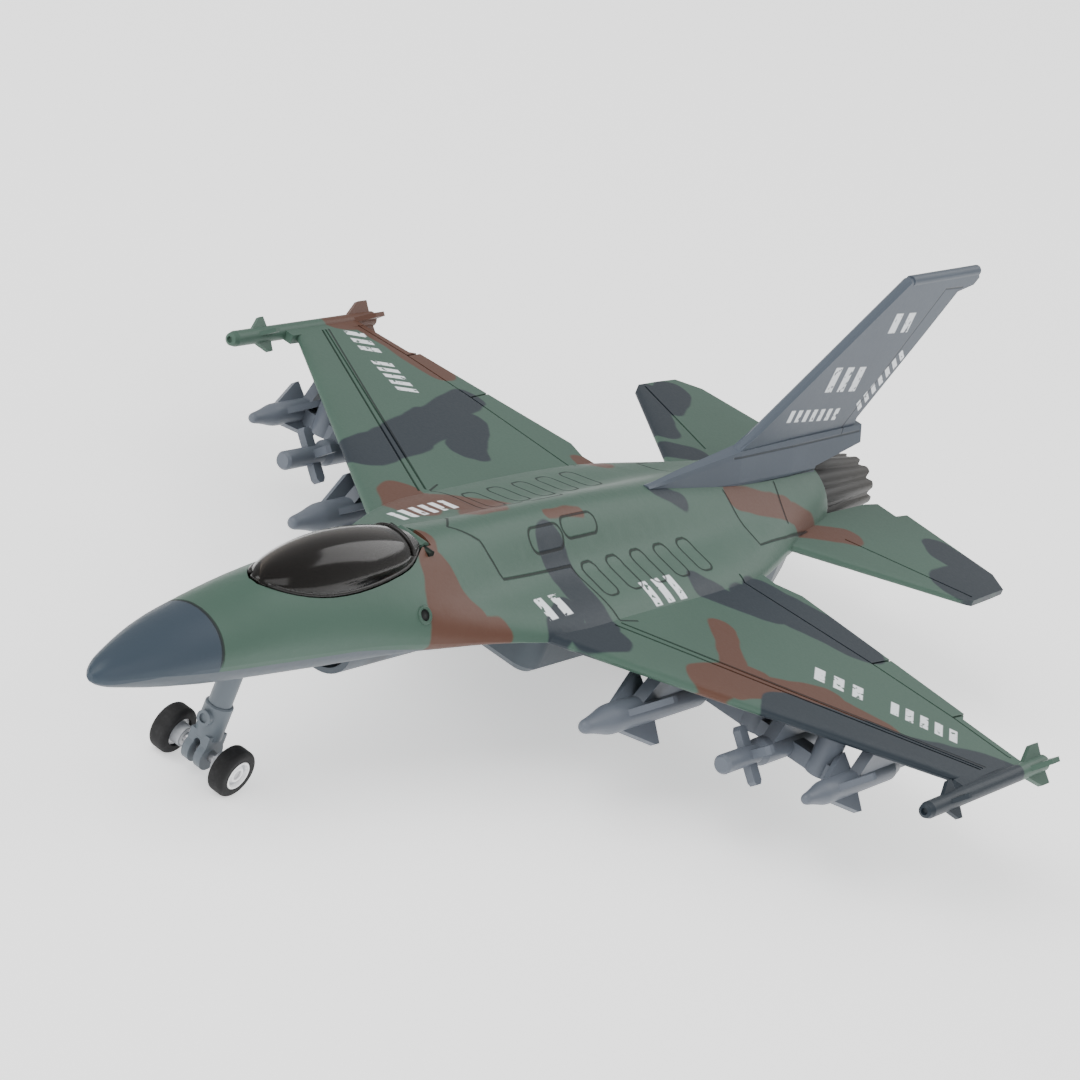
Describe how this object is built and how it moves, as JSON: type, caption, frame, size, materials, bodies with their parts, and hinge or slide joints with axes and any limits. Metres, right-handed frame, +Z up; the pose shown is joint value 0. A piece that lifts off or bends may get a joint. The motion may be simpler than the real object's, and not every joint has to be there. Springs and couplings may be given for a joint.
{
  "type": "toy jet aircraft",
  "caption": "Die-cast toy jet with opening canopy, twin nose wheels, rolling main wheels on a pull-back motor, underwing stores racks and a plug-in tail fin.",
  "frame": {"origin": "centre of the model's footprint, on the ground under the wheels", "axes": "+Z up, nose towards -Y, port wing towards +X; the X = 0 plane is the plane of symmetry"},
  "size_m": [0.145, 0.2112, 0.0636],
  "materials": {
    "camouflage_paint": "satin",
    "grey_plastic_light": "satin",
    "smoked_plastic": "gloss",
    "steel": "satin",
    "cockpit_plastic": "matte",
    "seat_plastic": "matte",
    "fin_plastic": "satin",
    "nozzle_plastic": "matte",
    "stores_plastic": "satin",
    "screw_steel": "satin",
    "leg_plastic": "satin",
    "gear_plastic": "satin",
    "spring_steel": "satin",
    "motor_plastic": "satin",
    "tyre_rubber": "matte",
    "hub_plastic": "gloss"
  },
  "bodies": {
    "airframe": {"upper_casting": "camouflage_paint", "lower_shell": "grey_plastic_light", "canopy_pin": "steel", "cockpit_tub": "cockpit_plastic", "ejection_seat": "seat_plastic", "tail_fin": "fin_plastic", "exhaust_nozzle": "nozzle_plastic", "port_stores_rack": "stores_plastic", "starboard_stores_rack": "stores_plastic", "rack_screws": "screw_steel", "body_screws": "screw_steel", "nose_leg": "leg_plastic", "port_motor_case": "motor_plastic", "starboard_motor_case": "motor_plastic", "motor_screws": "screw_steel"},
    "canopy": {"canopy": "smoked_plastic"},
    "nose_wheels": {"nose_axle": "steel", "port_nose_tyre": "tyre_rubber", "port_nose_hub": "hub_plastic", "starboard_nose_tyre": "tyre_rubber", "starboard_nose_hub": "hub_plastic"},
    "main_wheels": {"main_axle": "steel", "axle_pinion": "gear_plastic", "port_main_tyre": "tyre_rubber", "port_main_hub": "hub_plastic", "starboard_main_tyre": "tyre_rubber", "starboard_main_hub": "hub_plastic"},
    "winding": {"winding_gear": "gear_plastic", "mainspring": "spring_steel"}
  },
  "joints": [
    {"name": "canopy_hinge", "type": "hinge", "parent": "airframe", "child": "canopy", "pos_m": [0, -0.0414, 0.032], "axis": [-1, 0, 0], "range_deg": [0, 40]},
    {"name": "nose_wheel_spin", "type": "hinge", "parent": "airframe", "child": "nose_wheels", "pos_m": [0, -0.0734, 0.00357], "axis": [1, 0, 0], "continuous": true},
    {"name": "main_wheel_spin", "type": "hinge", "parent": "airframe", "child": "main_wheels", "pos_m": [0, 0.036, 0.0046], "axis": [1, 0, 0], "continuous": true},
    {"name": "motor_winding", "type": "hinge", "parent": "airframe", "child": "winding", "pos_m": [0, 0.03262, 0.01096], "axis": [1, 0, 0], "continuous": true}
  ],
  "couplings": [
    {"joint": "motor_winding", "follows": "main_wheel_spin", "ratio": -0.33333}
  ]
}
